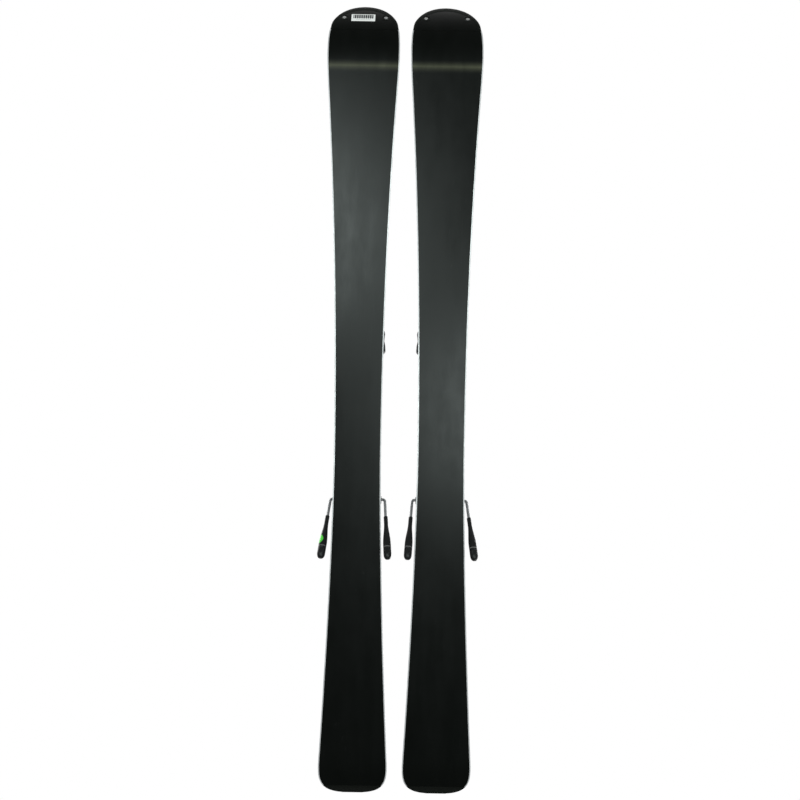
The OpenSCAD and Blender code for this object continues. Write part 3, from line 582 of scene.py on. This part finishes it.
def tip_cap():
    """The tip protector: a rim round the tip whose lip laps over the top sheet."""
    arc_tip = TIP_Y - RIM_W
    turns = [math.sin(math.pi / 2 * i / 36) for i in range(37)]
    outer = [TIP_LINE + (TIP_Y - TIP_LINE) * s for s in turns]
    inner = [TIP_LINE + (arc_tip - TIP_LINE) * s for s in turns]
    half = [(half_w(out_y), out_y, arc_half(in_y), in_y) for out_y, in_y in zip(outer, inner)]
    around = half + [(-ox, oy, -ix, iy) for ox, oy, ix, iy in reversed(half[:-1])]
    rings = []
    for ox, oy, ix, iy in around:
        span = max(1.0, math.hypot(ox - ix, oy - iy))
        lip = 5 / span

        def at(u, z_of, dz):
            x, y = ix + (ox - ix) * u, iy + (oy - iy) * u
            return (x, y, z_of(y) + dz)

        r = 1.0 / span
        rings.append([
            at(0, low, 0.1), at(0.3 / span, low, 0.0), at(1 - 1.4 * r, low, 0), at(1 - 0.45 * r, low, 0.35),
            at(1, low, 1.3), at(1, high, -0.6), at(1 - 0.4 * r, high, 0.35), at(1 - 1.6 * r, high, 0.8),
            at(-lip + 0.6 / span, high, 0.8), at(-lip, high, 0.25), at(-lip, high, 0.0), at(0, high, 0.0)])
    return skin(rings)


def tail_cap():
    """The tail protector with a tongue over the top sheet."""
    ys = [TAIL_LINE] + [2 * TAIL_LINE - y for y in ease_out(TAIL_LINE, TAIL_LINE + (TAIL_LINE - TAIL_Y), 24)]

    def section(y):
        w = max(0.3, half_w(y))
        if y < TAIL_Y + 0.5:
            w = max(w, half_w(TAIL_Y + 0.5) * 0.9)
        z, t = low(y), high(y) + 0.8
        c = min(1.1, w / 3)
        return [(-w, z + c), (-w + c * 0.3, z + c * 0.3), (-w + c, z), (w - c, z), (w - c * 0.3, z + c * 0.3),
                (w, z + c), (w, t - c), (w - c * 0.3, t - c * 0.3), (w - c, t), (-w + c, t),
                (-w + c * 0.3, t - c * 0.3), (-w, t - c)]

    end = strip(ys, section)

    def tongue(y):
        w, t = half_w(y) - SHEET_IN, high(y)
        rise = 0.8 * min(1, (TAIL_LINE + 18 - y) / 1.2 + 0.1)
        side = t + rise * 0.6
        return [(-w, t), (w, t), (w, side), (w - 0.5, t + rise), (-w + 0.5, t + rise), (-w, side)]

    return merge([end, strip(spread(TAIL_LINE - 0.1, TAIL_LINE + 18, 1.5), tongue)])


def surface_frame(x, y, of):
    """Point and outward normal on the base (of=low) or the top (of=high)."""
    s = slope(y, of)
    normal = Vector((0, s, -1) if of is low else (0, -s, 1)).normalized()
    return Vector((x, y, of(y))), normal


def tip_lugs():
    parts = []
    for s in (-1, 1):
        p, n = surface_frame(s * RIVET_X, RIVET_Y, low)
        rim = [(LUG_R, -1.2), (LUG_R, 0.05), (LUG_R - 0.35, 0.22), (LUG_R - 1.1, 0.22), (LUG_R - 1.4, 0.06)]
        floor_of_lug = [(RIVET_R + 1.3, 0.06), (RIVET_R + 0.5, -0.25), (0.2, -0.25)]
        parts.append(lathe(p, n, rim + floor_of_lug))
    return merge(parts)


def tip_rivets():
    parts = []
    for s in (-1, 1):
        for of, r, lift in ((low, RIVET_R, -0.1), (high, RIVET_R + 1.5, 0.8)):
            p, n = surface_frame(s * RIVET_X, RIVET_Y, of)
            dome = [(r * math.cos(a), lift + 0.75 * math.sin(a)) for a in (0, 0.3, 0.6, 0.9, 1.2, 1.45)]
            parts.append(lathe(p, n, [(r, lift - 1.0)] + dome + [(0.15, lift + 0.75)]))
    return merge(parts)


def ski_pieces(side):
    """The ski's smooth pieces, each in place of its CAD node."""
    body = f"{side}_ski"

    def piece(node, geometry, mat, sharp=32):
        obj = add_mesh(f"{side}_{node}_smooth", *placed(geometry, side), MAT[mat], sharp)
        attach(obj, body)
        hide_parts(f"{side}_{node}")

    piece("base_sheet", base_sheet(), "base", 20)
    piece("steel_edges", merge([edge_strip(), mirrored(edge_strip())]), "edge_steel", 25)
    piece("sidewalls", merge([side_strip(), mirrored(side_strip())]), "sidewall", 25)
    piece("top_sheet", top_sheet(), "top_sheet", 40)
    piece("tip_cap", merge([tip_cap(), tip_lugs()]), "protector", 40)
    piece("tail_cap", tail_cap(), "protector", 40)
    piece("tip_rivets", tip_rivets(), "zinc", 40)


# ---------------------------------------------------------------- brakes
STAND_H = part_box("left_afd_plate")[1].z / MM - SNOW_Z
HEEL_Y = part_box("left_brake_base")[0].y / MM
PIVOT = Vector((0, HEEL_Y + 10, STAND_H - 6))
WIRE_R = 2.6
ARM_LEN, ARM_ANGLE = 114.4, math.radians(41)
WIRE_HALF, FOOT_HALF = 50.3, 58
CRANK_X, CRANK_LEN, CRANK_ANGLE = 23, 50, math.radians(44)
PIN_X, BEND_R = 12, 5.5
FOOT_START, FOOT_LINE, FOOT_END = 37, 99.3, ARM_LEN + 6.6
FOOT_NECK, FOOT_W, FOOT_D, FOOT_CORNER = 3.7, 6.9, 7.6, 0.82
ARM_RUN = math.sqrt(ARM_LEN ** 2 - (FOOT_HALF - WIRE_HALF) ** 2)
ARM_ROOT = Vector((WIRE_HALF, PIVOT.y, PIVOT.z))
ARM_BACK, ARM_DROP = ARM_RUN * math.cos(ARM_ANGLE), ARM_RUN * math.sin(ARM_ANGLE)
ARM_TIP = Vector((FOOT_HALF, PIVOT.y - ARM_BACK, PIVOT.z - ARM_DROP))
ARM_DIR = (ARM_TIP - ARM_ROOT).normalized()
ARM_FACE = ARM_DIR.cross(Vector((1, 0, 0))).normalized()
if ARM_FACE.z > 0:
    ARM_FACE = -ARM_FACE
ARM_SIDE = ARM_FACE.cross(ARM_DIR).normalized()
if ARM_SIDE.x < 0:
    ARM_SIDE = -ARM_SIDE


def brake_wire():
    """One bent wire: pedal pin, crank, pivot stretch and splayed arm."""
    ahead, up = CRANK_LEN * math.cos(CRANK_ANGLE), CRANK_LEN * math.sin(CRANK_ANGLE)
    crank = Vector((CRANK_X, PIVOT.y + ahead, PIVOT.z + up))
    pin = Vector((PIN_X, crank.y, crank.z))
    foot = Vector((CRANK_X, PIVOT.y, PIVOT.z))
    path = rounded_path([pin, crank, foot, ARM_ROOT, ARM_ROOT + ARM_DIR * 78], BEND_R)
    return sweep(path, WIRE_R, 22)


def foot_outline(s):
    """Half width across and half depth of the foot at a distance along the arm."""
    swell_start, swell_end, nose = FOOT_START + 14, 92, 9
    t = max(0, min(1, (s - swell_start) / (swell_end - swell_start)))
    swell = t * t * (3 - 2 * t)
    w = FOOT_NECK + (FOOT_W - FOOT_NECK) * swell
    d = FOOT_NECK + (FOOT_D - FOOT_NECK) * swell
    if s > FOOT_END - nose:
        round_off = math.sqrt(max(0.0, 1 - ((s - FOOT_END + nose) / (nose + 0.05)) ** 2))
        w, d = w * (0.25 + 0.75 * round_off), d * (0.2 + 0.8 * round_off)
    return w, d


def squared(value):
    """A sine or cosine drawn out towards the corners of its circle."""
    return math.copysign(abs(value) ** FOOT_CORNER, value)


def squared_circle(count):
    """Points round a unit circle that is drawn out a little towards its corners."""
    turns = [math.tau * k / count for k in range(count)]
    return [(squared(math.cos(a)), squared(math.sin(a))) for a in turns]


def foot_ring(s, w, d):
    """One ring of the foot, across the arm at a distance along it."""
    middle = ARM_ROOT + ARM_DIR * s
    return [tuple(middle + ARM_SIDE * px * w + ARM_FACE * py * d) for px, py in squared_circle(36)]


def brake_foot():
    """The plastic foot: a slim sheath that swells to a rounded paddle, parted by a fine line."""
    rings = []
    groove = [FOOT_LINE + step for step in (-0.9, -0.6, 0.6, 0.9)]
    stations = [FOOT_START, FOOT_START + 0.4, FOOT_START + 1.5] + spread(FOOT_START + 4, ARM_LEN - 14, 3)
    stations = sorted(set(stations + groove)) + ease_out(ARM_LEN - 12.5, FOOT_END, 12)
    for s in stations:
        w, d = foot_outline(s)
        if s == FOOT_START:
            w, d = w - 0.5, d - 0.5
        if abs(s - FOOT_LINE) < 0.7:
            w, d = w - 0.45, d - 0.45
        rings.append(foot_ring(s, w, d))
    return skin(rings)


def foot_line():
    """A pale band let into the fine line that parts the foot."""
    rings = []
    for step, inset in ((-0.75, 0.8), (-0.7, 0.12), (0.7, 0.12), (0.75, 0.8)):
        s = FOOT_LINE + step
        w, d = foot_outline(s)
        rings.append(foot_ring(s, w - inset, d - inset))
    return skin(rings)


def oval_ring(s_mid, half_long, half_wide, tube, lift):
    """A raised oval bead on the foot's outer face."""
    rings, steps = [], 48
    for i in range(steps):
        a = math.tau * i / steps
        s, across = s_mid + half_long * math.cos(a), half_wide * math.sin(a)
        w, d = foot_outline(s)
        depth = d * math.sqrt(max(0.05, 1 - (abs(across) / w) ** 2.4))
        centre = ARM_ROOT + ARM_DIR * s + ARM_SIDE * across + ARM_FACE * (depth + lift)
        out = (ARM_DIR * math.cos(a) + ARM_SIDE * math.sin(a)).normalized()
        ring = [tuple(centre + (out * math.cos(b) + ARM_FACE * math.sin(b)) * tube)
                for b in (math.tau * k / 8 for k in range(8))]
        rings.append(ring)
    return skin(rings, closed=True)


def brake_pieces(side):
    body = f"{side}_brake"
    wires = merge([brake_wire(), mirrored(brake_wire())])
    obj = add_mesh(f"{side}_brake_wires_smooth", *placed(wires, side), MAT["wire_steel"], 50)
    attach(obj, body)
    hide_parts(f"{side}_brake_wires")
    one = merge([brake_foot(), oval_ring(108.5, 6.2, 3.6, 0.5, 0.05)])
    both = placed(merge([one, mirrored(one)]), side)
    obj = add_mesh(f"{side}_brake_feet_smooth", *both, MAT["brake_foot"], 40)
    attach(obj, body)
    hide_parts(f"{side}_brake_feet")
    lines = merge([foot_line(), mirrored(foot_line())])
    obj = add_mesh(f"{side}_brake_foot_lines", *placed(lines, side), MAT["foot_mark"], 40)
    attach(obj, body)


def foot_tag():
    """A small green sticker wrapped on the outside of the right ski's outer foot."""
    rows = []
    for i in range(15):
        s = 79 + 16 * i / 14
        reach = 0.55 + 0.4 * math.sin(math.pi * i / 14)
        w, d = foot_outline(s)
        row = []
        for k in range(13):
            a = math.radians(30 + (k - 6) * 8.5 * reach * 1.3)
            px = squared(math.cos(a)) * (w + 0.12)
            py = squared(math.sin(a)) * (d + 0.12)
            row.append(tuple(ARM_ROOT + ARM_DIR * s + ARM_SIDE * px + ARM_FACE * py))
        rows.append(row)
    n = len(rows[0])
    points = [p for row in rows for p in row]
    faces = [(i * n + k, i * n + k + 1, (i + 1) * n + k + 1, (i + 1) * n + k)
             for i in range(len(rows) - 1) for k in range(n - 1)]
    obj = add_mesh("green_tag", *placed((points, faces), "right"), tag_material(), 60)
    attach(obj, "right_brake")


def tip_label():
    """A white label on the right ski's base, inside the tip protector."""
    size = (44, 19)
    centre = (3.4, TIP_Y - 33.8)
    rows = []
    for v in [-1, -0.97] + [i / 8 for i in range(-7, 8)] + [0.97, 1]:
        y = centre[1] + size[1] / 2 * v
        rim = 0.0 if abs(v) == 1 else -0.14
        row = [(centre[0] + size[0] / 2 * u, y, low(y) - 0.02 + (0.0 if abs(u) == 1 else rim))
               for u in [-1, -0.985] + [i / 6 for i in range(-5, 6)] + [0.985, 1]]
        rows.append(row)
    n = len(rows[0])
    points = [p for row in rows for p in row]
    faces = [(i * n + k, (i + 1) * n + k, (i + 1) * n + k + 1, i * n + k + 1)
             for i in range(len(rows) - 1) for k in range(n - 1)]
    at = ((centre[0] + CENTRE_X["right"]) * MM, centre[1] * MM)
    paper = label_material(at, (size[0] * MM, size[1] * MM))
    obj = add_mesh("tip_label", *placed((points, faces), "right"), paper)
    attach(obj, "right_ski")


# ---------------------------------------------------------------- CAD nodes that stay
SOFT_EDGE = {"heel_housing": 1.0, "heel_lever": 0.8, "toe_cover": 1.2, "toe_wing_left": 0.8,
             "toe_wing_right": 0.8, "binding_plate": 0.5, "toe_base": 0.7, "heel_carriage": 0.6,
             "brake_base": 0.6, "brake_pad": 0.6}


def soften(obj, width):
    """Welds the tessellated node, joins its flat faces and rounds its sharp edges, by modifiers only."""
    weld = obj.modifiers.new("weld", "WELD")
    weld.merge_threshold = 2e-6
    flat = obj.modifiers.new("flat", "DECIMATE")
    flat.decimate_type = "DISSOLVE"
    flat.angle_limit = math.radians(0.6)
    bevel = obj.modifiers.new("round", "BEVEL")
    bevel.width = width * MM
    bevel.segments = 3
    bevel.limit_method = "ANGLE"
    bevel.angle_limit = math.radians(34)
    bevel.use_clamp_overlap = True
    bevel.harden_normals = True


def dress_nodes():
    """Gives every CAD node its slot's material, and rounds the edges of the moulded ones."""
    for entry in frame["record"]["subparts"]:
        node, slot = entry["node"], entry["material_slot"]
        obj = frame["nodes"][node]
        for i in range(len(obj.material_slots)):
            obj.material_slots[i].material = MAT[slot]
        if not obj.material_slots:
            obj.data.materials.append(MAT[slot])
        name = node.split("_", 1)[1]
        if name in SOFT_EDGE:
            soften(obj, SOFT_EDGE[name])


# ---------------------------------------------------------------- studio
def camera():
    """Straight below the pair, looking up at the bases, tips at the top of the picture."""
    data = bpy.data.cameras.new("camera")
    data.sensor_width, data.lens = 36, 30
    data.clip_start, data.clip_end = 0.05, 30
    obj = bpy.data.objects.new("camera", data)
    bpy.context.scene.collection.objects.link(obj)
    obj.location = (0.0001, -0.0135, SNOW_Z * MM - 1.2)
    obj.rotation_euler = (0, math.pi, math.radians(-0.91))
    bpy.context.scene.camera = obj


def softbox(name, where, target, size, power, colour=(1, 1, 1)):
    """A rectangular soft panel that faces a target."""
    data = bpy.data.lights.new(name, "AREA")
    data.shape = "RECTANGLE"
    data.size, data.size_y = size
    data.energy = power
    data.color = colour
    obj = bpy.data.objects.new(name, data)
    bpy.context.scene.collection.objects.link(obj)
    obj.location = where
    obj.rotation_euler = (Vector(target) - Vector(where)).to_track_quat("-Z", "Y").to_euler()


def world():
    """White to the camera; soft and even to matt surfaces; bright above and dark below to gloss."""
    w = bpy.data.worlds.new("studio")
    bpy.context.scene.world = w
    w.use_nodes = True
    tree = w.node_tree
    white = tree.nodes["Background"]
    white.inputs["Color"].default_value = (1, 1, 1, 1)
    white.inputs["Strength"].default_value = 1.0
    path = tree.nodes.new("ShaderNodeLightPath")
    where = tree.nodes.new("ShaderNodeTexCoord")
    split = tree.nodes.new("ShaderNodeSeparateXYZ")
    tree.links.new(where.outputs["Generated"], split.inputs[0])
    rise = tree.nodes.new("ShaderNodeMapRange")
    for key, value in (("From Min", -0.02), ("From Max", 0.5), ("To Min", 0.02), ("To Max", 0.75)):
        rise.inputs[key].default_value = value
    tree.links.new(split.outputs["Z"], rise.inputs["Value"])
    room = tree.nodes.new("ShaderNodeBackground")
    tree.links.new(rise.outputs["Result"], room.inputs["Strength"])
    soft = tree.nodes.new("ShaderNodeBackground")
    soft.inputs["Strength"].default_value = 0.6
    for node in (room, soft):
        node.inputs["Color"].default_value = (1, 1, 1, 1)
    matt = tree.nodes.new("ShaderNodeMixShader")
    tree.links.new(path.outputs["Is Diffuse Ray"], matt.inputs[0])
    tree.links.new(room.outputs[0], matt.inputs[1])
    tree.links.new(soft.outputs[0], matt.inputs[2])
    mix = tree.nodes.new("ShaderNodeMixShader")
    tree.links.new(path.outputs["Is Camera Ray"], mix.inputs[0])
    tree.links.new(matt.outputs[0], mix.inputs[1])
    tree.links.new(white.outputs[0], mix.inputs[2])
    tree.links.new(mix.outputs[0], tree.nodes["World Output"].inputs["Surface"])


def floor():
    """A pale floor under the brake feet that shows only from above."""
    size = 6
    mesh = bpy.data.meshes.new("floor")
    corners = [(-size, -size, 0), (size, -size, 0), (size, size, 0), (-size, size, 0)]
    mesh.from_pydata(corners, [], [(0, 1, 2, 3)])
    obj = bpy.data.objects.new("floor", mesh)
    bpy.context.scene.collection.objects.link(obj)
    obj.location.z = -0.0006
    mat = bpy.data.materials.new("floor_paper")
    mat.use_nodes = True
    tree = mat.node_tree
    bsdf = tree.nodes["Principled BSDF"]
    bsdf.inputs["Base Color"].default_value = (0.86, 0.86, 0.86, 1)
    bsdf.inputs["Roughness"].default_value = 0.7
    clear = tree.nodes.new("ShaderNodeBsdfTransparent")
    back = tree.nodes.new("ShaderNodeNewGeometry")
    length = tree.nodes.new("ShaderNodeVectorMath")
    length.operation = "LENGTH"
    tree.links.new(back.outputs["Position"], length.inputs[0])
    fade = tree.nodes.new("ShaderNodeMapRange")
    fade.interpolation_type = "SMOOTHSTEP"
    fade.inputs["From Min"].default_value = 0.75
    fade.inputs["From Max"].default_value = 1.9
    tree.links.new(length.outputs["Value"], fade.inputs["Value"])
    clear_part = tree.nodes.new("ShaderNodeMath")
    clear_part.operation = "MAXIMUM"
    tree.links.new(back.outputs["Backfacing"], clear_part.inputs[0])
    tree.links.new(fade.outputs["Result"], clear_part.inputs[1])
    mix = tree.nodes.new("ShaderNodeMixShader")
    tree.links.new(clear_part.outputs[0], mix.inputs[0])
    tree.links.new(bsdf.outputs[0], mix.inputs[1])
    tree.links.new(clear.outputs[0], mix.inputs[2])
    tree.links.new(mix.outputs[0], tree.nodes["Material Output"].inputs["Surface"])
    obj.data.materials.append(mat)
    obj.visible_shadow = False
    obj.visible_glossy = False
    obj.visible_diffuse = False


def lights():
    """Soft panels: four below, two off towards each ski's bright part, and two above for the other views."""
    tint = (0.88, 1, 0.97)
    softbox("below_tips", (0.6, 1.3, -2.4), (0, 0.2, 0), (0.5, 0.5), 5, tint)
    softbox("below_front", (0.45, 0.8, -2.4), (0, 0.1, 0), (0.4, 0.4), 9, tint)
    softbox("below_middle", (-0.42, -0.08, -2.4), (0, 0, 0), (0.4, 0.4), 7, tint)
    softbox("below_side", (-0.8, 0.1, -2.4), (0, -0.1, 0), (0.6, 0.6), 4.5, tint)
    softbox("above_key", (-1.6, -1.2, 2.4), (0, 0, 0), (1.8, 1.8), 60)
    softbox("above_fill", (1.8, 0.8, 2.0), (0, 0, 0), (1.8, 1.8), 30)


scene = bpy.context.scene
scene.view_settings.view_transform = "Standard"
dress_nodes()
for side in SIDES:
    ski_pieces(side)
    brake_pieces(side)
tip_label()
foot_tag()
camera()
world()
floor()
lights()
